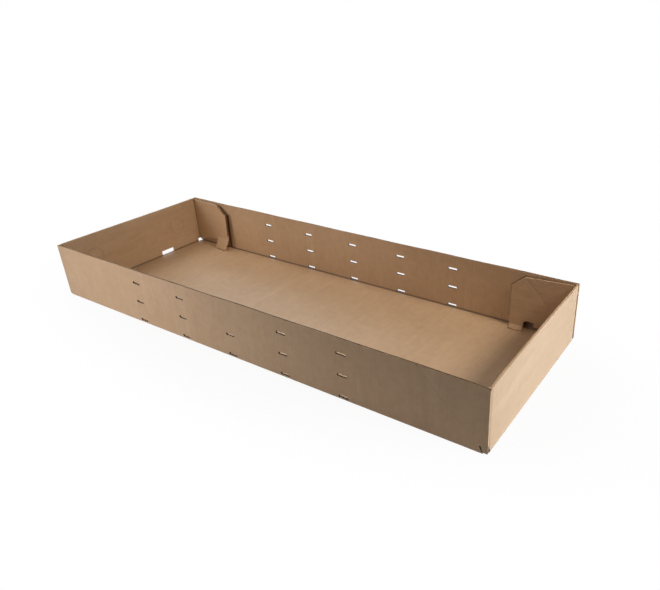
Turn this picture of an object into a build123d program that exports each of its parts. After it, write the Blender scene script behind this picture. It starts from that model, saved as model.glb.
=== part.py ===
"""Long, shallow tray folded from one sheet of corrugated board, open at the top."""
import os
from math import cos, radians, sin

from build123d import *

os.makedirs("parts", exist_ok=True)

# Driving dimensions of the folded tray, in millimetres. X runs along the tray, Y across it, Z up.
length = 1200.0
width = 440.0
height = 140.0
board = 4.0
fold_radius = 6.0

# Lacing slots: a grid on each long wall, with the lowest row just above the floor fold.
slot_length = 24.0
slot_height = 6.0
slot_corner = 2.0
slot_columns = 5
slot_rows = 3
slot_pitch_x = 148.5
slot_pitch_z = 48.3
slot_lowest_z = 9.8
bare_column = 0.0

# Corner flaps: hinged on the end walls, standing against the inside of the long walls.
flap_length = 148.0
flap_gap = 0.5
flap_top_at_corner = 136.0
flap_top_at_chamfer = 130.0
flap_chamfer_length = 29.0
flap_chamfer_drop = 24.0
flap_foot_at_corner = 12.0
flap_foot_at_notch = 24.0
notch_radius = 11.0
tab_width = 33.0
tab_reach = 20.0
tab_taper = 7.0
tab_flare = 4.0
tab_rest_gap = 0.3

# How far each flap's free edge stands off its long wall, in degrees of swing at floor and at rim.
near_swing = (1.0, 0.4)
far_right_swing = (2.8, 0.6)
far_left_swing = (7.2, 4.2)

# The far left flap has sprung up at its free end, in degrees, and its wide tab slopes down to the floor.
far_left_lift = 3.3
loose_tab_root_z = 32.0
loose_tab_reach = 14.0

# Creases for folding flat: at 45 degrees, one from each bottom corner at the right end, outside the
# long walls, and one inside each flap there, which runs a little higher.
crease_width = 2.4
crease_depth = 0.4
crease_foot_z = 44.0
flap_crease_rise = 12.0
slit_width = 3.2
slit_top_inset = 15.0
slit_top_z = 18.0
slit_foot_inset = 8.5
left_cut_length = 6.0
right_cut_length = 10.0

# Corner reliefs, lock slots at the foot of the left end wall, and its two pressed rings.
relief_radius = 5.0
relief_inset = 13.0
relief_z = 7.5
lock_slot_length = 42.0
lock_slot_height = 12.5
lock_slot_foot_z = 4.6
lock_slot_spacing = 176.0
ring_radius = 24.0
ring_line = 2.0
ring_depth = 0.3
ring_z = 76.0
ring_spacing = 268.0

# Derived places.
half_length = length / 2
half_width = width / 2
inner_radius = fold_radius - board
mid_radius = fold_radius - board / 2
flap_face = half_width - board - flap_gap
fold_centre_x = half_length - fold_radius
fold_centre_y = flap_face - fold_radius
past = 5.0


def sheet_section(half_span, rim_z):
    """Draws the sheet edge-on: floor, two rounded folds and two upright walls."""
    side = half_span - board / 2
    corners = [(-side, rim_z), (-side, board / 2), (side, board / 2), (side, rim_z)]
    with BuildSketch() as section:
        with BuildLine():
            FilletPolyline(*corners, radius=mid_radius)
        trace(line_width=board)
    return section.sketch


def flap_section(swing, outer, inner):
    """Draws a layer of the end wall's upright fold and of the flap beyond it, seen from above."""
    turn = 90 + swing
    along = Vector(-cos(radians(swing)), -sin(radians(swing)))
    centre = (fold_centre_x, fold_centre_y)
    plate = flap_length - fold_radius
    with BuildSketch() as section:
        with BuildLine():
            outside = CenterArc(centre, outer, 0, turn)
            back = Line(outside @ 1, outside @ 1 + along * plate)
            inside = CenterArc(centre, inner, 0, turn)
            front = Line(inside @ 1, inside @ 1 + along * plate)
            Line(back @ 1, front @ 1)
            Line(inside @ 0, outside @ 0)
        make_face()
    return section.sketch


def flap_layer(swing, outer, inner):
    """Lofts a layer of the flap from floor to rim, so that it can stand off more at the floor."""
    with BuildPart() as layer:
        with BuildSketch(Plane.XY):
            add(flap_section(swing[0], outer, inner))
        with BuildSketch(Plane.XY.offset(height)):
            add(flap_section(swing[1], outer, inner))
        loft(ruled=True)
    return layer.part


def flap_outline(root_z):
    """Draws the flap's cut outline, seen along Y: tapered edges, chamfer, notch and tab root."""
    free_x = half_length - flap_length
    tab_x = free_x + tab_width
    notch_x = tab_x + notch_radius
    notch_z = flap_foot_at_notch - notch_radius
    with BuildSketch() as outline:
        with BuildLine():
            foot = Line((half_length + past, flap_foot_at_corner), (notch_x, flap_foot_at_notch))
            if root_z < flap_foot_at_notch:
                side = CenterArc((notch_x, notch_z), notch_radius, 90, 90)
            else:
                side = Line(foot @ 1, (notch_x, root_z))
            Polyline(
                side @ 1,
                (free_x - past, root_z),
                (free_x - past, flap_top_at_chamfer - flap_chamfer_drop),
                (free_x, flap_top_at_chamfer - flap_chamfer_drop),
                (free_x + flap_chamfer_length, flap_top_at_chamfer),
                (fold_centre_x, flap_top_at_corner),
                (fold_centre_x, height),
                (half_length + past, height),
                foot @ 0,
            )
        make_face()
    return outline.sketch


def tab_plane(swing, root_z):
    """Plane across the flap's free edge at the tab's root: local X to the long wall, local Y up."""
    bent = radians(swing[0] + (swing[1] - swing[0]) * root_z / height)
    along = Vector(-cos(bent), -sin(bent), 0)
    towards_wall = Vector(-sin(bent), cos(bent), 0)
    turn_end = Vector(fold_centre_x, fold_centre_y, 0) + towards_wall * fold_radius
    free_edge = turn_end + along * (flap_length - fold_radius)
    return Plane(origin=free_edge, x_dir=towards_wall, z_dir=-along)


def bent_tab(plane, tab_path, breadth):
    """Makes the tab along its bent path; one side tapers in from root to tip, the other flares out."""
    reach = tab_path[0][0] - tab_path[-1][0]
    across = Plane(origin=plane.origin, x_dir=-plane.x_dir, z_dir=plane.y_dir)
    with BuildPart() as tab:
        with BuildSketch(plane):
            with BuildLine():
                FilletPolyline(*tab_path, radius=board / 2 + 1)
            trace(line_width=board)
        extrude(amount=breadth + tab_flare)
        with BuildSketch(across):
            with BuildLine():
                Polyline(
                    (0, 0),
                    (board, 0),
                    (board + reach, tab_taper),
                    (board + reach, breadth + tab_flare),
                    (board, breadth),
                    (0, breadth),
                    close=True,
                )
            make_face()
        extrude(amount=height, mode=Mode.INTERSECT)
    return tab.part


def corner_flap(swing, lift, tab_path, root_z, breadth, creased):
    """Makes one corner's upright fold, flap and tab, for the corner at +X and +Y."""
    body = flap_layer(swing, fold_radius, inner_radius)
    groove = flap_layer(swing, inner_radius + crease_depth, inner_radius - 1)
    corner = Axis((half_length, 0, 0), (0, 0, 1))
    with BuildPart() as flap:
        with BuildSketch(Plane.XZ):
            add(flap_outline(root_z).rotate(corner, -lift))
            with Locations((fold_centre_x, flap_foot_at_corner)):
                Rectangle(fold_radius + past, height - flap_foot_at_corner, align=Align.MIN)
        extrude(amount=width, both=True)
        add(body, mode=Mode.INTERSECT)
        add(bent_tab(tab_plane(swing, root_z), tab_path, breadth))
        if creased:
            add(crease_cutter(groove), mode=Mode.SUBTRACT)
    return flap.part


def crease_cutter(groove):
    """Makes the strip of the flap's inner skin that the diagonal crease presses in."""
    with BuildPart() as cutter:
        with BuildSketch(Plane.XZ):
            with BuildLine():
                Line(
                    (half_length + flap_crease_rise - crease_foot_z, crease_foot_z),
                    (half_length + flap_crease_rise - height, height),
                )
            trace(line_width=crease_width)
        extrude(amount=width, both=True)
        add(groove, mode=Mode.INTERSECT)
    return cutter.part


# Tab centre lines, from inside the flap plate down: folded flat on the floor, or sloping to it.
tab_mid = -board / 2
tab_floor = board + tab_rest_gap + board / 2
plain_root_z = flap_foot_at_notch - notch_radius
folded_tab = [
    (tab_mid, plain_root_z + board / 2),
    (tab_mid, tab_floor),
    (tab_mid - tab_reach, tab_floor),
]
loose_width = tab_width + notch_radius
lifted_root_z = loose_tab_root_z + (flap_length - loose_width / 2) * sin(radians(far_left_lift))
loose_tab = [
    (tab_mid, lifted_root_z + board),
    (tab_mid, lifted_root_z),
    (tab_mid - loose_tab_reach, tab_floor),
]

near_flap = corner_flap(near_swing, 0, folded_tab, plain_root_z, tab_width, True)
near_left_flap = corner_flap(near_swing, 0, folded_tab, plain_root_z, tab_width, False)
far_right_flap = corner_flap(far_right_swing, 0, folded_tab, plain_root_z, tab_width, True)
far_left_flap = corner_flap(
    far_left_swing, far_left_lift, loose_tab, loose_tab_root_z, loose_width, False
)

with BuildPart() as tray:
    # Floor and long walls, which run the full length and cover the corner folds.
    with BuildSketch(Plane.YZ):
        add(sheet_section(half_width, height))
    extrude(amount=half_length, both=True)
    # The floor fold of the long walls stops short of each end.
    for end, cut_length in ((-1, left_cut_length), (1, right_cut_length)):
        with BuildSketch(Plane.XY):
            with Locations((end * (half_length - cut_length / 2), 0)):
                Rectangle(cut_length, width)
        extrude(amount=fold_radius, mode=Mode.SUBTRACT)
    # End walls, folded up from the floor between the corner folds.
    with BuildSketch(Plane.XZ):
        add(sheet_section(half_length, height))
    extrude(amount=fold_centre_y, both=True)
    # Corner folds and flaps.
    add(far_right_flap)
    mirror(far_left_flap, about=Plane.YZ)
    mirror(near_flap, about=Plane.XZ)
    mirror(mirror(near_left_flap, about=Plane.XZ, mode=Mode.PRIVATE), about=Plane.YZ)
    # Slots in the far wall, all rows, and in the near wall without the top one of the bare column.
    slot_centre_z = slot_lowest_z + slot_pitch_z * (slot_rows - 1) / 2
    with BuildSketch(Plane.XZ.offset(-half_width)):
        with Locations((0, slot_centre_z)):
            with GridLocations(slot_pitch_x, slot_pitch_z, slot_columns, slot_rows):
                RectangleRounded(slot_length, slot_height, slot_corner)
    extrude(amount=board + flap_gap / 2, mode=Mode.SUBTRACT)
    with BuildSketch(Plane.XZ.offset(half_width)):
        with Locations((0, slot_centre_z)):
            with GridLocations(slot_pitch_x, slot_pitch_z, slot_columns, slot_rows):
                RectangleRounded(slot_length, slot_height, slot_corner)
        with Locations((bare_column * slot_pitch_x, slot_lowest_z + slot_pitch_z * (slot_rows - 1))):
            Rectangle(slot_length + board, slot_height + board, mode=Mode.SUBTRACT)
    extrude(amount=-board - flap_gap / 2, mode=Mode.SUBTRACT)
    # Diagonal creases outside the long walls at the right end, with a slit in line at the foot.
    for side in (-1, 1):
        outside_face = Plane(origin=(0, side * half_width, 0), x_dir=(1, 0, 0), z_dir=(0, side, 0))
        up = 1 if outside_face.y_dir.Z > 0 else -1
        with BuildSketch(outside_face):
            with BuildLine():
                Line(
                    (half_length - crease_foot_z, up * crease_foot_z),
                    (half_length - height, up * height),
                )
            trace(line_width=crease_width)
        extrude(amount=-crease_depth, mode=Mode.SUBTRACT)
        with BuildSketch(outside_face):
            with BuildLine():
                Line(
                    (half_length - slit_foot_inset, up * slit_width),
                    (half_length - slit_top_inset, up * slit_top_z),
                )
            trace(line_width=slit_width)
        extrude(amount=-board - flap_gap / 2, mode=Mode.SUBTRACT)
    # Round reliefs and lock slots at the foot of the left end wall, and the rings pressed into it.
    with BuildSketch(Plane.YZ.offset(-half_length)):
        with Locations((0, relief_z)):
            with GridLocations(width - 2 * relief_inset, 1, 2, 1):
                Circle(relief_radius)
        with Locations((0, lock_slot_foot_z + lock_slot_height / 2)):
            with GridLocations(lock_slot_spacing, 1, 2, 1):
                RectangleRounded(lock_slot_length, lock_slot_height, slot_corner)
    extrude(amount=fold_radius, mode=Mode.SUBTRACT)
    with BuildSketch(Plane.YZ.offset(board - half_length)):
        with Locations((0, ring_z)):
            with GridLocations(ring_spacing, 1, 2, 1):
                Circle(ring_radius)
                Circle(ring_radius - ring_line, mode=Mode.SUBTRACT)
    extrude(amount=-ring_depth, mode=Mode.SUBTRACT)

tray.part.label = "folded_tray"
export_step(tray.part, "parts/folded_tray.step")
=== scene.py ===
"""Looks of a long, shallow tray folded from one sheet of corrugated board, modelled around its frame."""
from math import ceil, exp, radians, sin, tau

import bpy
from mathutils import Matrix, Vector


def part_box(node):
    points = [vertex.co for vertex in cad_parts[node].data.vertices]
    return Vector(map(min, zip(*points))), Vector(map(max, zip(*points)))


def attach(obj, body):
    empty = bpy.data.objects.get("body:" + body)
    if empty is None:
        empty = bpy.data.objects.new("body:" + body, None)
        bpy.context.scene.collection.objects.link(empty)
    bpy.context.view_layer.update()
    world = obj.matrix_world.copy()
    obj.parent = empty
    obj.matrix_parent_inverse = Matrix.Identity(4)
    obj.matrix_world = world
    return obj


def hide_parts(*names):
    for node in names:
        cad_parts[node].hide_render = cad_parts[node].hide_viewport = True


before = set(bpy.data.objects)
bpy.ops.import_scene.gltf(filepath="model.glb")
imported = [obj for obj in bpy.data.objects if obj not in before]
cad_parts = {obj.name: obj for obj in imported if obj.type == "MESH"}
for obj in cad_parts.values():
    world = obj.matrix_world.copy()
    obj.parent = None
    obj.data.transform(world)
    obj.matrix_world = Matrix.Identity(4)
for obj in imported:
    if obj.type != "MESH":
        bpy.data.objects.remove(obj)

bl_info = {
    "name": "Corrugated tray",
    "version": (1, 0, 0),
    "blender": (4, 5, 0),
    "location": "3D View > Sidebar > Tray",
    "description": "Builds a long, open tray of kraft corrugated board",
    "category": "Add Mesh",
}

TRAY_NODE = "folded_tray"
HALF_LENGTH, HALF_WIDTH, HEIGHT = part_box(TRAY_NODE)[1]

# Board, in metres: thickness, liners, and the wave of the fluted paper between them.
BOARD = 0.004
LINER = 0.0005
MEDIUM = 0.0003
FLUTE_PITCH = 0.0078
WAVE_STEPS = 10
FEWEST_STEPS = 6
FOLD_RADIUS = 0.006

# Cut edges: how deep rims, slots and the edges along the flutes open, the shortest edge that shows
# its fluted paper, the shares of the depth where that paper's foot and top stand, and how near to
# an edge's tip a point counts as its end.
RIM_DEPTH = 0.0026
SLOT_DEPTH = 0.0018
SLIT_DEPTH = 0.0004
SHORT_EDGE = 0.005
WAVE_FOOT = 0.97
WAVE_TOP = 0.08
END_SLICE = 0.0005

# Where the wall slots, the corner slits, the flaps and their free edges lie.
RIM_SLACK = 0.0001
SLOTS_REACH_X = 0.33
SLOTS_TOP_Z = 0.125
FLAP_EDGE_X = (0.440, 0.472)
FLAP_EDGE_Z = (0.045, 0.104)
FLAP_CHAMFER_X = (0.410, 0.484)
FLAP_REACH_Y = 0.17
FLAP_FROM_X = 0.42
SHADED_FROM_X = 0.435
CORNER_SLIT = (0.580, 0.022)

# How far a face looks along an axis to count as rim, lip, free edge, slanted corner or flap top.
RIM_UP = 0.9
LIP_UP = 0.99
EDGE_INWARDS = 0.9
SLANT_UP = (0.4, 0.97)
SLANT_ACROSS = 0.2
SHADED_ACROSS = 0.6
MOSTLY = 0.7
PARTLY = 0.5

# Mesh: merging and flattening of the CAD's triangles, and a grid with guard lines beside the folds
# that keep their rounding narrow.
MERGE = 0.000002
FLATTEN = radians(0.3)
GRID_X = 0.0125
GRID_Y = 0.02
GRID_Z = 0.0145
GUARD = 0.0012
SLIVER = 0.00025

# How far the walls have bowed, all of it inwards, with ripples as share, turns and start.
NEAR_BOW = 0.0012
FAR_BOW = 0.0016
END_BOW = 0.0010
END_REACH = 0.03
BOW_POWER = 1.5
RIPPLES = ((0.25, 9.0, 0.8), (0.15, 23.0, 0.0))

# Worn rim: the near right corner's dip, and a small wave all round.
CORNER_DIP = 0.0022
CORNER_REACH = 0.018
CORNER_FROM_Y = 0.19
CORNER_FADE = 0.02
CORNER_POWER = 6
RIM_WAVE = 0.0003
RIM_TURNS = (31.0, 14.0)
RIM_POWER = 4

# Creases outside the long walls at the right end: where they are, and how much shallower they get.
CREASED_FROM_X = 0.43
CREASE_DEEPEST = 0.0006
CREASE_EASE = 0.4

# Swell of the floor: its height, its fade beside the walls, and its waves along and across.
FLOOR_RISE = 0.0006
FLOOR_FADE = 0.06
FLOOR_WAVE_X = (13.0, 1.1)
FLOOR_WAVE_Y = (15.0, 0.4, 2.0)

# Relief of the paper: heights of its flute ridges and of its fibres.
FLUTE_WASH = 0.00004
PAPER_WASH = 0.00004

# Noises of the paper: scale, detail and roughness, and a stretch across and along the flutes.
CLOUD = (7.0, 3.0, 0.55)
MOTTLE = (60.0, 4.0, 0.6)
GRAIN = (2400.0, 2.0, 0.6)
SPECK = (700.0, 1.0, 0.4)
STREAK, STREAK_STRETCH = (1.0, 2.0, 0.5), (420.0, 9.0)
FIBRE, FIBRE_STRETCH = (1.0, 3.0, 0.6), (900.0, 2600.0)
BAND, BAND_STRETCH = (1.0, 3.0, 0.6), (17.0, 2.2)

# How the noises colour the paper: shares of the tone, ranges, and strengths of what lies on it.
CLOUD_SHARE, MOTTLE_SHARE, STREAK_SHARE, FIBRE_SHARE = 0.26, 0.27, 0.27, 0.20
TONE_RANGE = (0.36, 0.64)
SPECK_RANGE = (0.70, 0.76)
BAND_RANGE = (0.56, 0.70)
SPECK_STRENGTH = 0.35
BAND_STRENGTH = 0.20
# Strength of the painted shade in the scored folds and pressed rings.
CREASE_SHADE_STRENGTH = 0.92

# Painted shade in the scored folds: place, width and full core, and how much fainter the corners are.
SCORE_INSET = 0.0006
SCORE_WIDTH = 0.0040
SCORE_CORE = 0.35
CORNER_FAINTER = 0.0014

# Pressed rings inside the left end: centre, radius, line width, full core, strength of the painted shade
# in their grooves, and how far the line shows in front of and behind the end's inner face.
RING_Y = 0.134
RING_Z = 0.076
RING_RADIUS = 0.024
RING_LINE = 0.0036
RING_CORE = 0.3
RING_SHADE = 0.14
RING_BEHIND = 0.001
RING_FRONT = (0.016, 0.026)

# Strength of the painted shade inside slots and slits, on the flaps' edges and on the near rim.
SLOT_SHADE = 0.93
EDGE_SHADE = 0.92
RIM_SHADE = 0.5

# Painted shadow on the far wall in the gaps at the flaps' edges: two ends in X and Z, reach and strength.
# The painted shadow is full in a core, and lies between these distances from the wall's inner face.
SHADOW_CORE = 0.25
SHADOW_INSIDE = (-0.0008, -0.0003)
SHADOW_OUTSIDE = (0.001, 0.002)
FLAP_SHADOWS = (
    ((0.4500, 0.026), (0.4505, 0.104), 0.0034, 0.80),
    ((0.4505, 0.104), (0.4800, 0.1305), 0.0028, 0.66),
    ((0.4800, 0.1315), (0.5850, 0.1375), 0.0022, 0.42),
    ((0.4890, 0.013), (0.4990, 0.013), 0.0140, 0.85),
    ((-0.4640, 0.006), (-0.4610, 0.104), 0.0070, 0.90),
    ((-0.4610, 0.104), (-0.4840, 0.128), 0.0040, 0.70),
)

# Floor: its size, its drop below the tray, and its grey under the lights. The camera sees a share
# of plain white beside the tray and all white farther out, by a distance stretched across it.
FLOOR_SIZE = 40
FLOOR_DROP = 0.0002
FLOOR_GREY = 0.5
FLOOR_ROUGHNESS = 0.9
FLOOR_GLOW = 0.94
GLOW_FADE = (0.55, 1.0)
GLOW_STRETCH = 2.2

# Softboxes around the tray: place, the point they face, side, power, spread in degrees and colour.
SOFTBOXES = {
    "key_right": ((2.4, 0.0, 1.9), (0.7, 0, 0.05), 0.8, 5.5, 52, (1, 0.98, 0.95)),
    "right_low": ((3.0, 0.0, 1.0), (0.6, 0, 0.05), 1.6, 1.0, 75, (1, 1, 1)),
    "far_right_low": ((2.0, 0.8, 0.13), (0.6, -0.1, 0.07), 0.26, 3.0, 75, (0.82, 1.05, 1.36)),
    "near_left_low": ((-0.88, -1.15, 0.45), (-0.30, -0.2, 0.05), 0.5, 1.75, 68, (1, 0.99, 1.02)),
    "corner_fill": ((0.2, -0.7, 0.9), (-0.55, 0.2, 0.06), 0.2, 0.09, 28, (1, 0.97, 0.92)),
    "far_left": ((-1.8, 1.8, 1.4), (0, 0, 0.05), 1.4, 3.0, 75, (1, 1, 1)),
    "top_left": ((-1.4, 0.2, 2.2), (-0.1, 0, 0), 1.4, 4.0, 75, (1, 1, 1)),
}

# Camera: place, turn, lens and sideways shift of the photograph's view of the tray.
CAMERA_PLACE = (0.91886, -0.95894, 0.71667)
CAMERA_TURN = (radians(62.898), radians(1.071), radians(32.261))
CAMERA_LENS = 33.45
CAMERA_SHIFT_X = -0.114


def quiet_selection():
    """Leaves edit mode and deselects all, so that the next operator acts on its own object."""
    if bpy.context.object and bpy.context.object.mode != "OBJECT":
        bpy.ops.object.mode_set(mode="OBJECT")
    bpy.ops.object.select_all(action="DESELECT")


def make_active(piece):
    """Selects one object alone and makes it active."""
    quiet_selection()
    piece.select_set(True)
    bpy.context.view_layer.objects.active = piece


def finish_piece(piece, material, body="root"):
    """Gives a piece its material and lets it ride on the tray."""
    piece.data.materials.clear()
    piece.data.materials.append(material)
    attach(piece, body)


# Materials

def node(tree, kind, place, **inputs):
    """Adds a shader node, with values for its inputs by name."""
    made = tree.nodes.new(kind)
    made.location = place
    for name, value in inputs.items():
        made.inputs[name.replace("_", " ")].default_value = value
    return made


def math_node(tree, operation, place, first, second=None):
    """Adds a Math node whose inputs are sockets or numbers."""
    made = tree.nodes.new("ShaderNodeMath")
    made.operation = operation
    made.location = place
    for index, value in enumerate((first, second)):
        if value is None:
            continue
        if isinstance(value, (int, float)):
            made.inputs[index].default_value = value
        else:
            tree.links.new(value, made.inputs[index])
    return made.outputs[0]


def noise(tree, place, vector, scale, detail, roughness):
    """Adds a noise texture on a vector socket and returns its value."""
    texture = node(tree, "ShaderNodeTexNoise", place, Scale=scale, Detail=detail, Roughness=roughness)
    tree.links.new(vector, texture.inputs["Vector"])
    return texture.outputs["Fac"]


def stretched(tree, place, vector, across, along):
    """Scales a vector by one factor in X and another in Y."""
    mapping = tree.nodes.new("ShaderNodeMapping")
    mapping.location = place
    mapping.inputs["Scale"].default_value = (across, along, 1.0)
    tree.links.new(vector, mapping.inputs["Vector"])
    return mapping.outputs["Vector"]


def spread(tree, place, value, low, high, floor=0.0, ceiling=1.0):
    """Maps a value from low..high to floor..ceiling in a smooth step."""
    step = tree.nodes.new("ShaderNodeMapRange")
    step.interpolation_type = "SMOOTHSTEP"
    step.location = place
    step.inputs["From Min"].default_value = low
    step.inputs["From Max"].default_value = high
    step.inputs["To Min"].default_value = floor
    step.inputs["To Max"].default_value = ceiling
    tree.links.new(value, step.inputs["Value"])
    return step.outputs["Result"]


def tinted(tree, place, factor, base, tint):
    """Mixes a base colour towards a tint, a colour or a socket, by a factor."""
    mix = tree.nodes.new("ShaderNodeMix")
    mix.data_type = "RGBA"
    mix.location = place
    tree.links.new(factor, mix.inputs["Factor"])
    for socket, value in ((mix.inputs["A"], base), (mix.inputs["B"], tint)):
        if isinstance(value, tuple):
            socket.default_value = value
        else:
            tree.links.new(value, socket)
    return mix.outputs["Result"]


def new_group(name, inputs, outputs):
    """Makes a shader node group with named sockets, and returns it with its two end nodes."""
    tree = bpy.data.node_groups.new(name, "ShaderNodeTree")
    for socket, kind in inputs:
        tree.interface.new_socket(socket, in_out="INPUT", socket_type="NodeSocket" + kind)
    for socket, kind in outputs:
        tree.interface.new_socket(socket, in_out="OUTPUT", socket_type="NodeSocket" + kind)
    return tree, tree.nodes.new("NodeGroupInput"), tree.nodes.new("NodeGroupOutput")


def kraft_group():
    """Kraft paper over flutes: its tone, its dark specks and the height of fibres and flutes."""
    tree, given_in, out = new_group(
        "kraft_liner",
        (("Place", "Vector"), ("Flutes", "Vector")),
        (("Tone", "Float"), ("Specks", "Float"), ("Bands", "Float"), ("Height", "Float")))
    place, flutes = given_in.outputs["Place"], given_in.outputs["Flutes"]
    cloud = noise(tree, (-600, 400), place, *CLOUD)
    mottle = noise(tree, (-600, 250), place, *MOTTLE)
    streak = noise(tree, (-600, 100), stretched(tree, (-800, 100), flutes, *STREAK_STRETCH), *STREAK)
    fibre = noise(tree, (-600, -50), stretched(tree, (-800, -50), flutes, *FIBRE_STRETCH), *FIBRE)
    grain = noise(tree, (-600, -200), place, *GRAIN)
    speck = noise(tree, (-600, -350), place, *SPECK)
    band = noise(tree, (-600, 550), stretched(tree, (-800, 550), flutes, *BAND_STRETCH), *BAND)
    tree.links.new(spread(tree, (-350, 550), band, *BAND_RANGE), out.inputs["Bands"])
    tone = math_node(tree, "MULTIPLY", (-350, 400), cloud, CLOUD_SHARE)
    shares = ((mottle, MOTTLE_SHARE), (streak, STREAK_SHARE), (fibre, FIBRE_SHARE))
    for index, (value, share) in enumerate(shares):
        part = math_node(tree, "MULTIPLY", (-350, 300 - 120 * index), value, share)
        tone = math_node(tree, "ADD", (-150, 300 - 120 * index), tone, part)
    axes = node(tree, "ShaderNodeSeparateXYZ", (-800, -500))
    tree.links.new(flutes, axes.inputs["Vector"])
    turns = math_node(tree, "MULTIPLY", (-600, -500), axes.outputs["X"], tau / FLUTE_PITCH)
    swing = math_node(tree, "SINE", (-450, -500), turns)
    wave = math_node(tree, "MULTIPLY", (-300, -500), swing, FLUTE_WASH)
    paper = math_node(tree, "MULTIPLY", (-300, -200), fibre, PAPER_WASH)
    rough = math_node(tree, "MULTIPLY", (-300, -320), grain, PAPER_WASH / 2)
    broad = math_node(tree, "MULTIPLY", (-300, -420), streak, FLUTE_WASH / 2)
    height = math_node(tree, "ADD", (-100, -300), math_node(tree, "ADD", (-150, -200), paper, rough),
                       math_node(tree, "ADD", (-150, -400), wave, broad))
    tree.links.new(tone, out.inputs["Tone"])
    tree.links.new(spread(tree, (-350, -350), speck, *SPECK_RANGE), out.inputs["Specks"])
    tree.links.new(height, out.inputs["Height"])
    return tree


def line_distance(tree, place, first, first_at, second, second_at):
    """Distance of a point from a line, given two coordinates across the line and its place."""
    offsets = []
    for index, (value, at) in enumerate(((first, first_at), (second, second_at))):
        away = math_node(tree, "SUBTRACT", (place[0], place[1] - 60 * index), value, at)
        offsets.append(math_node(tree, "MULTIPLY", (place[0] + 100, place[1] - 60 * index), away, away))
    total = math_node(tree, "ADD", (place[0] + 200, place[1]), *offsets)
    return math_node(tree, "SQRT", (place[0] + 300, place[1]), total)


def crease_shade_group():
    """Mask of the painted shade in the scored lines inside every floor and corner fold, and in the two
    pressed rings.
    """
    tree, given_in, out = new_group("painted_crease_shade", (("Place", "Vector"),), (("Mask", "Float"),))
    axes = node(tree, "ShaderNodeSeparateXYZ", (-900, 0))
    tree.links.new(given_in.outputs["Place"], axes.inputs["Vector"])
    x = math_node(tree, "ABSOLUTE", (-750, 100), axes.outputs["X"])
    y = math_node(tree, "ABSOLUTE", (-750, 0), axes.outputs["Y"])
    z = axes.outputs["Z"]
    foot_z = BOARD + SCORE_INSET
    side_y = HALF_WIDTH - BOARD - SCORE_INSET
    end_x = HALF_LENGTH - BOARD - SCORE_INSET
    corner_y = side_y - BOARD - 2 * SCORE_INSET
    nearest = line_distance(tree, (-600, 300), y, side_y, z, foot_z)
    for index, (fainter, line) in enumerate((
            (0.0, (x, end_x, z, foot_z)), (CORNER_FAINTER, (x, end_x, y, corner_y)))):
        other = line_distance(tree, (-600, 100 - 200 * index), *line)
        other = math_node(tree, "ADD", (-250, 100 - 200 * index), other, fainter)
        nearest = math_node(tree, "MINIMUM", (-150, 200 - 200 * index), nearest, other)
    mask = spread(tree, (50, 0), nearest, SCORE_WIDTH * SCORE_CORE, SCORE_WIDTH, 1.0, 0.0)
    from_middle = line_distance(tree, (-600, -400), y, RING_Y, z, RING_Z)
    from_ring = math_node(tree, "ABSOLUTE", (-100, -400), math_node(
        tree, "SUBTRACT", (-200, -400), from_middle, RING_RADIUS))
    ring = spread(tree, (50, -400), from_ring, RING_LINE * RING_CORE, RING_LINE, RING_SHADE, 0.0)
    end_face = BOARD - HALF_LENGTH
    fade_from, fade_to = (end_face + front for front in RING_FRONT)
    at_end = spread(tree, (50, -600), axes.outputs["X"], end_face - RING_BEHIND, end_face)
    past_end = spread(tree, (50, -800), axes.outputs["X"], fade_from, fade_to, 1.0, 0.0)
    pressed = math_node(tree, "MULTIPLY", (250, -400), ring, math_node(
        tree, "MULTIPLY", (200, -600), at_end, past_end))
    tree.links.new(math_node(tree, "MAXIMUM", (400, 0), mask, pressed), out.inputs["Mask"])
    return tree


def vector_math(tree, operation, place, *values):
    """Adds a Vector Math node whose inputs are sockets or tuples."""
    made = tree.nodes.new("ShaderNodeVectorMath")
    made.operation = operation
    made.location = place
    for socket, value in zip(made.inputs, values):
        if isinstance(value, tuple):
            socket.default_value = value
        else:
            tree.links.new(value, socket)
    return made.outputs["Value"] if operation in ("DOT_PRODUCT", "LENGTH") else made.outputs["Vector"]


def segment_distance(tree, place, point, start, finish):
    """Distance of a point from a segment, in the plane of X and Z."""
    run = Vector((finish[0] - start[0], finish[1] - start[1], 0))
    across, down = place
    offset = vector_math(tree, "SUBTRACT", (across, down), point, (*start, 0))
    share = vector_math(tree, "DOT_PRODUCT", (across + 100, down), offset, tuple(run / run.length_squared))
    held = tree.nodes.new("ShaderNodeClamp")
    held.location = (across + 200, down)
    tree.links.new(share, held.inputs["Value"])
    reach = node(tree, "ShaderNodeVectorMath", (across + 300, down))
    reach.operation = "SCALE"
    reach.inputs[0].default_value = tuple(run)
    tree.links.new(held.outputs["Result"], reach.inputs["Scale"])
    away = vector_math(tree, "SUBTRACT", (across + 400, down), offset, reach.outputs["Vector"])
    return vector_math(tree, "LENGTH", (across + 500, down), away)


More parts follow.
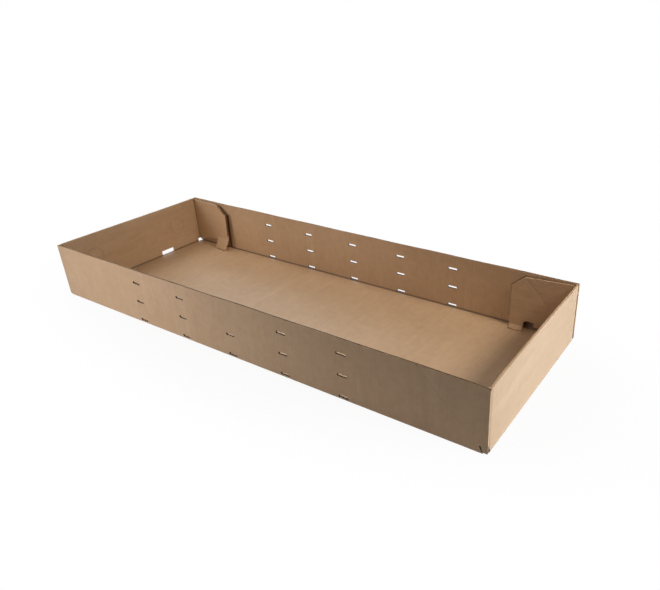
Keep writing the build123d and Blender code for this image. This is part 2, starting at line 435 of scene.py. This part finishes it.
def flap_shadow_group():
    """Mask of the painted shadow inside the far wall along the flaps' edges."""
    tree, given_in, out = new_group("painted_flap_shadows", (("Place", "Vector"),), (("Mask", "Float"),))
    axes = node(tree, "ShaderNodeSeparateXYZ", (-1100, 0))
    tree.links.new(given_in.outputs["Place"], axes.inputs["Vector"])
    flat = node(tree, "ShaderNodeCombineXYZ", (-950, 0))
    tree.links.new(axes.outputs["X"], flat.inputs["X"])
    tree.links.new(axes.outputs["Z"], flat.inputs["Y"])
    total = None
    for index, (start, finish, reach, strength) in enumerate(FLAP_SHADOWS):
        away = segment_distance(tree, (-800, -150 * index), flat.outputs["Vector"], start, finish)
        line = spread(tree, (-200, -150 * index), away, reach * SHADOW_CORE, reach, strength, 0.0)
        total = line if total is None else math_node(tree, "MAXIMUM", (0, -150 * index), total, line)
    side = axes.outputs["Y"]
    wall = HALF_WIDTH - BOARD
    inside_from, inside_to = (wall - FAR_BOW + depth for depth in SHADOW_INSIDE)
    outside_from, outside_to = (wall + depth for depth in SHADOW_OUTSIDE)
    inside = spread(tree, (-200, 200), side, inside_from, inside_to)
    outside = spread(tree, (-200, 350), side, outside_from, outside_to, 1.0, 0.0)
    face = math_node(tree, "MULTIPLY", (0, 200), inside, outside)
    tree.links.new(math_node(tree, "MULTIPLY", (200, 0), total, face), out.inputs["Mask"])
    return tree


def grouped(tree, group, place, **links):
    """Places a node group and links its inputs by name."""
    made = tree.nodes.new("ShaderNodeGroup")
    made.node_tree = bpy.data.node_groups.get(group) or GROUPS[group]()
    made.location = place
    for name, socket in links.items():
        tree.links.new(socket, made.inputs[name])
    return made


GROUPS = {"kraft_liner": kraft_group, "painted_crease_shade": crease_shade_group, "painted_flap_shadows": flap_shadow_group}


def board_material(look):
    """Kraft corrugated board: brown paper, faint flutes under it, and painted shade in folds, cuts and
    gaps.
    """
    material = bpy.data.materials.new("kraft_board")
    material.use_nodes = True
    tree = material.node_tree
    shader = tree.nodes["Principled BSDF"]
    shader.inputs["Specular IOR Level"].default_value = 0.5
    shader.inputs["Roughness"].default_value = 0.5
    place = node(tree, "ShaderNodeTexCoord", (-1600, 0)).outputs["Object"]
    flutes = tree.nodes.new("ShaderNodeUVMap")
    flutes.uv_map = "flutes"
    flutes.location = (-1600, -200)
    liner = grouped(tree, "kraft_liner", (-1200, 200), Place=place, Flutes=flutes.outputs["UV"])
    folds = grouped(tree, "painted_crease_shade", (-1200, -100), Place=place)
    tone = spread(tree, (-950, 300), liner.outputs["Tone"], *TONE_RANGE)
    colour = tinted(tree, (-750, 300), tone, (*look.dark_paper, 1), (*look.light_paper, 1))
    speck = math_node(tree, "MULTIPLY", (-750, 100), liner.outputs["Specks"], SPECK_STRENGTH)
    colour = tinted(tree, (-550, 300), speck, colour, (*look.fibre, 1))
    rubbed = math_node(tree, "MULTIPLY", (-750, 0), liner.outputs["Bands"], BAND_STRENGTH)
    colour = tinted(tree, (-450, 300), rubbed, colour, (*look.rubbed, 1))
    # Painted shade in the scored folds and pressed rings.
    crease_shading = math_node(tree, "MULTIPLY", (-750, -100), folds.outputs["Mask"], CREASE_SHADE_STRENGTH)
    colour = tinted(tree, (-350, 300), crease_shading, colour, (*look.crease_shade, 1))
    # Painted shadow of the flaps' edges on the far wall, in the dark shade colour.
    flap_shadows = grouped(tree, "painted_flap_shadows", (-1200, -300), Place=place)
    colour = tinted(tree, (-250, 300), flap_shadows.outputs["Mask"], colour, (*look.cut, 1))
    # Painted shade inside slots, slits, the near rim and on the flaps' edges, from the faces' shade
    # attribute.
    shade = node(tree, "ShaderNodeAttribute", (-750, -300))
    shade.attribute_name = "shade"
    colour = tinted(tree, (-150, 300), shade.outputs["Fac"], colour, (*look.cut, 1))
    tree.links.new(colour, shader.inputs["Base Color"])
    bump = node(tree, "ShaderNodeBump", (-300, -300), Strength=1.0, Distance=1.0)
    tree.links.new(liner.outputs["Height"], bump.inputs["Height"])
    tree.links.new(bump.outputs["Normal"], shader.inputs["Normal"])
    return material


# Settings

class TrayLook(bpy.types.PropertyGroup):
    """Colours of the tray's paper and of the shade painted on it."""

    light_paper: bpy.props.FloatVectorProperty(
        name="Light paper", description="Kraft liner where it is lightest", subtype="COLOR",
        size=3, min=0.0, max=1.0, default=(0.54, 0.35, 0.20))
    dark_paper: bpy.props.FloatVectorProperty(
        name="Dark paper", description="Kraft liner where it is darkest", subtype="COLOR",
        size=3, min=0.0, max=1.0, default=(0.46, 0.29, 0.155))
    fibre: bpy.props.FloatVectorProperty(
        name="Fibre", description="Dark fibres and specks in the paper", subtype="COLOR",
        size=3, min=0.0, max=1.0, default=(0.20, 0.12, 0.06))
    # Colour of the painted shade in the scored folds and pressed rings.
    crease_shade: bpy.props.FloatVectorProperty(
        name="Score", description="Pressed paper along the folds", subtype="COLOR",
        size=3, min=0.0, max=1.0, default=(0.155, 0.088, 0.042))
    rubbed: bpy.props.FloatVectorProperty(
        name="Rubbed", description="Paler bands where the paper has been rubbed", subtype="COLOR",
        size=3, min=0.0, max=1.0, default=(0.66, 0.46, 0.29))
    # Colour of the painted shade in slots, slits, the near rim and flap edges, and of the painted flap
    # shadows.
    cut: bpy.props.FloatVectorProperty(
        name="Cut", description="Shaded paper inside slots and cut edges", subtype="COLOR",
        size=3, min=0.0, max=1.0, default=(0.07, 0.04, 0.022))


# Sheet

def copy_of_node(name, node_name):
    """Copies a CAD node's mesh into a new object and merges its loose triangles."""
    piece = bpy.data.objects.new(name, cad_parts[node_name].data.copy())
    bpy.context.collection.objects.link(piece)
    piece.data.materials.clear()
    make_active(piece)
    bpy.ops.object.mode_set(mode="EDIT")
    bpy.ops.mesh.select_all(action="SELECT")
    bpy.ops.mesh.remove_doubles(threshold=MERGE)
    bpy.ops.mesh.dissolve_limited(angle_limit=FLATTEN)
    bpy.ops.object.mode_set(mode="OBJECT")
    return piece


def grid_planes():
    """Planes that cut the sheet into small faces: an even grid, and a guard beside each fold."""
    planes = []
    inner = FOLD_RADIUS + GUARD
    for axis, reach, step in ((0, HALF_LENGTH, GRID_X), (1, HALF_WIDTH, GRID_Y)):
        places = {0.0}
        for side in (-1, 1):
            places.add(side * (reach - inner))
            for count in range(1, int((reach - inner - step / 3) / step) + 1):
                places.add(side * count * step)
        planes += [(axis, place) for place in sorted(places)]
    planes.append((2, inner))
    planes += [(2, inner + GRID_Z * (count + 1)) for count in range(int((HEIGHT - inner) / GRID_Z))]
    return planes


def cut_grid():
    """Bisects the whole mesh in edit mode with every plane of the grid."""
    bpy.ops.object.mode_set(mode="EDIT")
    for axis, place in grid_planes():
        normal = [0.0, 0.0, 0.0]
        normal[axis] = 1.0
        bpy.ops.mesh.select_all(action="SELECT")
        bpy.ops.mesh.bisect(plane_co=[place * part for part in normal], plane_no=normal)
    bpy.ops.mesh.select_all(action="SELECT")
    bpy.ops.mesh.remove_doubles(threshold=SLIVER)
    bpy.ops.object.mode_set(mode="OBJECT")


def in_long_wall(place):
    """Whether a point lies in the thickness of a long wall."""
    return abs(place.y) > HALF_WIDTH - BOARD - GUARD / 4


def in_end_wall(place):
    """Whether a point lies in the thickness of an end wall."""
    return abs(place.x) > HALF_LENGTH - BOARD - GUARD / 4


def at_rim(place, normal):
    """Whether a face lies at the tray's rim and looks up."""
    return normal.z > RIM_UP and place.z > HEIGHT - RIM_SLACK


def long_rim(place, normal):
    """Whether a face is on a long wall's rim, where the flutes end."""
    return at_rim(place, normal) and in_long_wall(place)


def end_rim(place, normal):
    """Whether a face is on an end wall's rim, which runs along the flutes."""
    return at_rim(place, normal) and in_end_wall(place) and not in_long_wall(place)


def slot_lip(place, normal):
    """Whether a face is the upper or lower lip of a wall slot."""
    in_slots = abs(place.x) < SLOTS_REACH_X and FOLD_RADIUS < place.z < SLOTS_TOP_Z
    return abs(normal.z) > LIP_UP and in_slots and in_long_wall(place)


def flap_edge(place, normal):
    """Whether a face is on a corner flap's upright free edge."""
    low, high = FLAP_EDGE_X
    inwards = normal.x * place.x < -EDGE_INWARDS * abs(place.x)
    in_flap = low < abs(place.x) < high and abs(place.y) > FLAP_REACH_Y
    return inwards and in_flap and FLAP_EDGE_Z[0] < place.z < FLAP_EDGE_Z[1]


def flap_chamfer(place, normal):
    """Whether a face is on the slanted corner of a flap's free edge."""
    low, high = FLAP_CHAMFER_X
    slanted = SLANT_UP[0] < normal.z < SLANT_UP[1] and abs(normal.y) < SLANT_ACROSS
    return slanted and normal.x * place.x < 0 and low < abs(place.x) < high and place.z > FLAP_EDGE_Z[1]


def flap_top(place, normal):
    """Whether a face is on the top edge of a corner flap, which runs along the flutes."""
    beyond_chamfer = FLAP_EDGE_X[1] < abs(place.x) < HALF_LENGTH - FOLD_RADIUS
    in_flap = FLAP_REACH_Y < abs(place.y) < HALF_WIDTH - BOARD
    return normal.z > SLANT_UP[1] and beyond_chamfer and in_flap and place.z > SLOTS_TOP_Z


def select_faces(piece, test):
    """Selects the faces whose centre and normal pass a test, and leaves the piece in edit mode."""
    bpy.ops.object.mode_set(mode="OBJECT")
    bpy.context.tool_settings.mesh_select_mode = (False, False, True)
    data = piece.data
    data.vertices.foreach_set("select", [False] * len(data.vertices))
    data.edges.foreach_set("select", [False] * len(data.edges))
    chosen = [test(face.center, face.normal) for face in data.polygons]
    data.polygons.foreach_set("select", chosen)
    if not any(chosen):
        raise RuntimeError("no face of the sheet passes " + test.__name__)
    bpy.ops.object.mode_set(mode="EDIT")


def islands(piece):
    """Groups the selected faces of a piece in object mode into runs that share vertices."""
    owner = {}
    groups = []
    for face in (face for face in piece.data.polygons if face.select):
        met = {id(owner[v]): owner[v] for v in face.vertices if v in owner}
        merged = {"faces": [face], "verts": set(face.vertices)}
        for group in met.values():
            merged["faces"] += group["faces"]
            merged["verts"] |= group["verts"]
            groups.remove(group)
        for v in merged["verts"]:
            owner[v] = merged
        groups.append(merged)
    return groups


def strip_line(piece, group):
    """Finds a cut edge's middle line, from end to end, its outward normal and its thickness side."""
    normal = sum((face.normal for face in group["faces"]), Vector()).normalized()
    along = normal.cross(Vector((0, 1, 0))).normalized()
    points = [piece.data.vertices[v].co for v in group["verts"]]
    reach = [along.dot(point) for point in points]
    near = [point for point, far in zip(points, reach) if far < min(reach) + END_SLICE]
    distant = [point for point, far in zip(points, reach) if far > max(reach) - END_SLICE]
    start = sum(near, Vector()) / len(near)
    finish = sum(distant, Vector()) / len(distant)
    side = (finish - start).cross(normal).normalized()
    return start, finish, normal, side


def open_edge(piece, test, depth):
    """Sinks the middle of the cut edges that pass a test, and returns their middle lines."""
    make_active(piece)
    select_faces(piece, test)
    bpy.ops.object.mode_set(mode="OBJECT")
    lines = [strip_line(piece, group) for group in islands(piece)]
    bpy.ops.object.mode_set(mode="EDIT")
    bpy.ops.mesh.inset(thickness=LINER, depth=0, use_even_offset=False)
    bpy.ops.mesh.extrude_region()
    bpy.ops.object.mode_set(mode="OBJECT")
    for group in islands(piece):
        normal = sum((face.normal * face.area for face in group["faces"]), Vector()).normalized()
        for index in group["verts"]:
            piece.data.vertices[index].co -= normal * depth
    return lines


def fluted_strip(line, depth):
    """Models the wave of fluted paper that stands in one opened edge."""
    start, finish, normal, side = line
    run = finish - start
    steps = max(FEWEST_STEPS, ceil(run.length / FLUTE_PITCH * WAVE_STEPS))
    quiet_selection()
    bpy.ops.mesh.primitive_grid_add(x_subdivisions=steps, y_subdivisions=1, size=1)
    strip = bpy.context.object
    swing = (BOARD - 2 * LINER - MEDIUM) / 2
    for vertex in strip.data.vertices:
        share = vertex.co.x + 0.5
        sunk = depth * (WAVE_FOOT if vertex.co.y < 0 else WAVE_TOP)
        wave = swing * sin(tau * share * run.length / FLUTE_PITCH)
        vertex.co = start + run * share + side * wave - normal * sunk
    solidify = strip.modifiers.new("paper", "SOLIDIFY")
    solidify.thickness = MEDIUM
    solidify.offset = 0
    bpy.ops.object.modifier_apply(modifier="paper")
    return strip


def join(pieces):
    """Joins pieces into the first of them."""
    quiet_selection()
    for piece in pieces:
        piece.select_set(True)
    bpy.context.view_layer.objects.active = pieces[0]
    bpy.ops.object.join()
    return pieces[0]


def share_of(value):
    """Holds a value between 0 and 1."""
    return min(max(value, 0), 1)


def given(place):
    """Where a point of the flat-walled tray has moved to as the board bowed and rippled."""
    along = 1 - (place.x / HALF_LENGTH) ** 2
    across = 1 - (place.y / HALF_WIDTH) ** 2
    up = share_of(place.z / HEIGHT)
    from_side = HALF_WIDTH - abs(place.y)
    from_end = HALF_LENGTH - abs(place.x)
    side = 1 if place.y > 0 else -1
    end = 1 if place.x > 0 else -1
    moved = place.copy()
    if abs(place.y) > FLAP_REACH_Y:
        bow = FAR_BOW if place.y > 0 else NEAR_BOW
        ripple = sum(share * sin(turns * place.x + start) for share, turns, start in RIPPLES)
        reach = (abs(place.y) - FLAP_REACH_Y) / (HALF_WIDTH - BOARD - FLAP_REACH_Y)
        moved.y -= side * bow * along * up ** BOW_POWER * (1 + ripple) * min(reach, 1)
    if from_end < END_REACH:
        moved.x -= end * END_BOW * across * up ** BOW_POWER
    if place.y < 0:
        corner = exp(-((place.x - HALF_LENGTH) / CORNER_REACH) ** 2)
        near = share_of((abs(place.y) - CORNER_FROM_Y) / CORNER_FADE)
        moved.z -= CORNER_DIP * corner * up ** CORNER_POWER * near
    on_wall = CREASED_FROM_X < place.x < HALF_LENGTH - FOLD_RADIUS and place.z > FOLD_RADIUS
    if on_wall and 0 < from_side < CREASE_DEEPEST:
        moved.y += side * CREASE_EASE * from_side
    turns_x, turns_y = RIM_TURNS
    moved.z -= RIM_WAVE * up ** RIM_POWER * (1 + sin(turns_x * place.x + turns_y * place.y))
    if place.z < FOLD_RADIUS and from_side > FOLD_RADIUS:
        swell = 1 + sin(FLOOR_WAVE_X[0] * place.x + FLOOR_WAVE_X[1]) * sin(
            FLOOR_WAVE_Y[0] * place.y + FLOOR_WAVE_Y[1] + FLOOR_WAVE_Y[2] * place.x)
        flat = share_of(from_side / FLOOR_FADE) * share_of(from_end / FLOOR_FADE)
        moved.z += FLOOR_RISE * flat * swell / 2
    moved.x = max(-HALF_LENGTH, min(HALF_LENGTH, moved.x))
    return moved


def map_flutes(piece):
    """Lays a UV map in metres whose U runs across the flutes and V along them, as on the flat sheet."""
    data = piece.data
    layer = data.uv_layers.new(name="flutes")
    for face in data.polygons:
        end = abs(face.normal.x) > MOSTLY and abs(face.center.x) > HALF_LENGTH - 2 * FOLD_RADIUS
        flap = abs(face.center.x) > FLAP_FROM_X and abs(face.normal.y) > PARTLY
        flap = flap and abs(face.center.y) < HALF_WIDTH - BOARD - GUARD / 8
        for loop in face.loop_indices:
            place = data.vertices[data.loops[loop].vertex_index].co
            if end:
                across, along = place.z, place.y
            elif flap:
                across, along = place.z, place.x
            elif abs(face.normal.z) > MOSTLY:
                across, along = place.x, place.y
            else:
                across, along = place.x, place.z
            layer.data[loop].uv = (across, along)


def shade_cuts(piece):
    """Marks the faces inside slots, slits, the near rim and the flaps' cut edges with painted shade."""
    data = piece.data
    shade = data.attributes.new("shade", "FLOAT", "FACE")
    for face in data.polygons:
        place, normal = face.center, face.normal
        inside_wall = HALF_WIDTH - BOARD + LINER / 2 < abs(place.y) < HALF_WIDTH - LINER / 2
        slot_zone = abs(place.x) < SLOTS_REACH_X and FOLD_RADIUS < place.z < SLOTS_TOP_Z
        slit_zone = abs(place.x) > CORNER_SLIT[0] and place.z < CORNER_SLIT[1]
        flap_zone = SHADED_FROM_X < abs(place.x) < FLAP_EDGE_X[1] and abs(place.y) > FLAP_REACH_Y
        off_wall = abs(place.y) < HALF_WIDTH - BOARD - LINER
        if inside_wall and (slot_zone or slit_zone and abs(normal.y) < PARTLY):
            value = SLOT_SHADE
        elif inside_wall and place.z > HEIGHT - RIM_DEPTH - LINER and place.y < 0:
            value = RIM_SHADE
        elif flap_zone and off_wall and abs(normal.y) < SHADED_ACROSS and place.z > FLAP_EDGE_Z[0]:
            value = EDGE_SHADE
        else:
            continue
        shade.data[face.index].value = value


class TRAY_OT_sheet(bpy.types.Operator):
    """Model the folded sheet of board, with its open flutes, over the frame's solid"""

    bl_idname = "tray.sheet"
    bl_label = "Folded sheet"
    bl_options = {"REGISTER", "UNDO"}

    def execute(self, context):
        sheet = copy_of_node("board_sheet", TRAY_NODE)
        cut_grid()
        strips = []
        for test, depth in (
            (long_rim, RIM_DEPTH),
            (flap_edge, RIM_DEPTH),
            (flap_chamfer, RIM_DEPTH),
            (slot_lip, SLOT_DEPTH),
        ):
            for line in open_edge(sheet, test, depth):
                if (line[1] - line[0]).length > SHORT_EDGE:
                    strips.append(fluted_strip(line, depth))
        for test in (end_rim, flap_top):
            open_edge(sheet, test, SLIT_DEPTH)
        join([sheet] + strips)
        shade_cuts(sheet)
        for vertex in sheet.data.vertices:
            vertex.co = given(vertex.co)
        map_flutes(sheet)
        make_active(sheet)
        bpy.ops.object.shade_smooth_by_angle(angle=radians(30))
        even = sheet.modifiers.new("even_normals", "WEIGHTED_NORMAL")
        even.keep_sharp = True
        bpy.ops.object.modifier_apply(modifier="even_normals")
        look = context.scene.tray_look
        finish_piece(sheet, board_material(look))
        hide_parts(TRAY_NODE)
        return {"FINISHED"}


# Stage

class TRAY_OT_stage(bpy.types.Operator):
    """Set the white floor, the softboxes and the camera"""

    bl_idname = "tray.stage"
    bl_label = "Stage"
    bl_options = {"REGISTER", "UNDO"}

    def execute(self, context):
        quiet_selection()
        bpy.ops.mesh.primitive_plane_add(size=FLOOR_SIZE, location=(0, 0, -FLOOR_DROP))
        floor = context.object
        floor.name = "floor"
        floor.data.materials.append(floor_material())
        world_light(context.scene)
        for name, values in SOFTBOXES.items():
            add_light(name, *values)
        add_camera(context.scene)
        return {"FINISHED"}


def seen_share(tree, place):
    """Share of the light paths that end at the camera or in the paper's sheen."""
    path = node(tree, "ShaderNodeLightPath", place)
    return math_node(
        tree, "MAXIMUM", (place[0] + 200, place[1]),
        path.outputs["Is Camera Ray"], path.outputs["Is Glossy Ray"])


def mixed(tree, place, factor, first, second):
    """Mixes two shaders by a factor."""
    mix = node(tree, "ShaderNodeMixShader", place)
    tree.links.new(factor, mix.inputs["Fac"])
    tree.links.new(first.outputs[0], mix.inputs[1])
    tree.links.new(second.outputs[0], mix.inputs[2])
    return mix.outputs[0]


def floor_material():
    """White floor: it shows white to the camera and still keeps the tray's shadow."""
    material = bpy.data.materials.new("white_floor")
    material.use_nodes = True
    tree = material.node_tree
    shader = tree.nodes["Principled BSDF"]
    shader.inputs["Base Color"].default_value = (FLOOR_GREY, FLOOR_GREY, FLOOR_GREY, 1)
    shader.inputs["Roughness"].default_value = FLOOR_ROUGHNESS
    glow = node(tree, "ShaderNodeEmission", (0, -200), Strength=1.0)
    place = node(tree, "ShaderNodeTexCoord", (-800, 0)).outputs["Object"]
    squeezed = stretched(tree, (-700, 100), place, 1.0, GLOW_STRETCH)
    from_tray = vector_math(tree, "LENGTH", (-600, 0), squeezed)
    glow_share = spread(tree, (-400, 0), from_tray, *GLOW_FADE, FLOOR_GLOW, 1.0)
    share = math_node(tree, "MULTIPLY", (0, 300), seen_share(tree, (-400, 300)), glow_share)
    surface = mixed(tree, (200, 100), share, shader, glow)
    tree.links.new(surface, tree.nodes["Material Output"].inputs["Surface"])
    return material


def world_light(scene):
    """White room for the camera and the paper's sheen; the softboxes alone light the tray."""
    world = bpy.data.worlds.new("pale_room")
    scene.world = world
    world.use_nodes = True
    tree = world.node_tree
    tree.nodes.clear()
    room = node(tree, "ShaderNodeBackground", (0, 0), Color=(1, 1, 1, 1), Strength=0.0)
    white = node(tree, "ShaderNodeBackground", (0, -150), Color=(1, 1, 1, 1), Strength=1.0)
    out = node(tree, "ShaderNodeOutputWorld", (400, 0))
    surface = mixed(tree, (200, 0), seen_share(tree, (-400, 200)), room, white)
    tree.links.new(surface, out.inputs["Surface"])


def add_light(name, place, target, size, power, spread_angle, colour):
    """Adds a square softbox that faces a point of the tray."""
    light = bpy.data.lights.new(name, "AREA")
    light.shape = "SQUARE"
    light.size = size
    light.energy = power
    light.color = colour
    light.spread = radians(spread_angle)
    lamp = bpy.data.objects.new(name, light)
    lamp.location = place
    lamp.rotation_euler = (Vector(target) - Vector(place)).to_track_quat("-Z", "Y").to_euler()
    bpy.context.scene.collection.objects.link(lamp)
    return lamp


def add_camera(scene):
    """Sets the camera at the photograph's place, lens and crop."""
    camera = bpy.data.objects.new("camera", bpy.data.cameras.new("camera"))
    camera.data.sensor_width = 36
    camera.data.lens = CAMERA_LENS
    camera.data.shift_x = CAMERA_SHIFT_X
    camera.location = CAMERA_PLACE
    camera.rotation_euler = CAMERA_TURN
    scene.collection.objects.link(camera)
    scene.camera = camera


class TRAY_PT_panel(bpy.types.Panel):
    """Sidebar panel that lists the tray's colours and pieces"""

    bl_label = "Corrugated tray"
    bl_idname = "TRAY_PT_panel"
    bl_space_type = "VIEW_3D"
    bl_region_type = "UI"
    bl_category = "Tray"

    def draw(self, context):
        look = context.scene.tray_look
        for name in TrayLook.__annotations__:
            self.layout.prop(look, name)
        for operator in OPERATORS:
            self.layout.operator(operator.bl_idname)


OPERATORS = (TRAY_OT_sheet, TRAY_OT_stage)
CLASSES = (TrayLook, *OPERATORS, TRAY_PT_panel)


def register():
    """Registers the add-on's classes and its settings on the scene."""
    for cls in CLASSES:
        bpy.utils.register_class(cls)
    bpy.types.Scene.tray_look = bpy.props.PointerProperty(type=TrayLook)


def unregister():
    """Takes the add-on's settings and classes away again."""
    del bpy.types.Scene.tray_look
    for cls in reversed(CLASSES):
        bpy.utils.unregister_class(cls)


def main():
    """Builds the tray and its stage."""
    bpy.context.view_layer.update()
    register()
    bpy.ops.tray.sheet()
    bpy.ops.tray.stage()
    bpy.context.scene.view_settings.view_transform = "Standard"


if __name__ == "__main__":
    main()
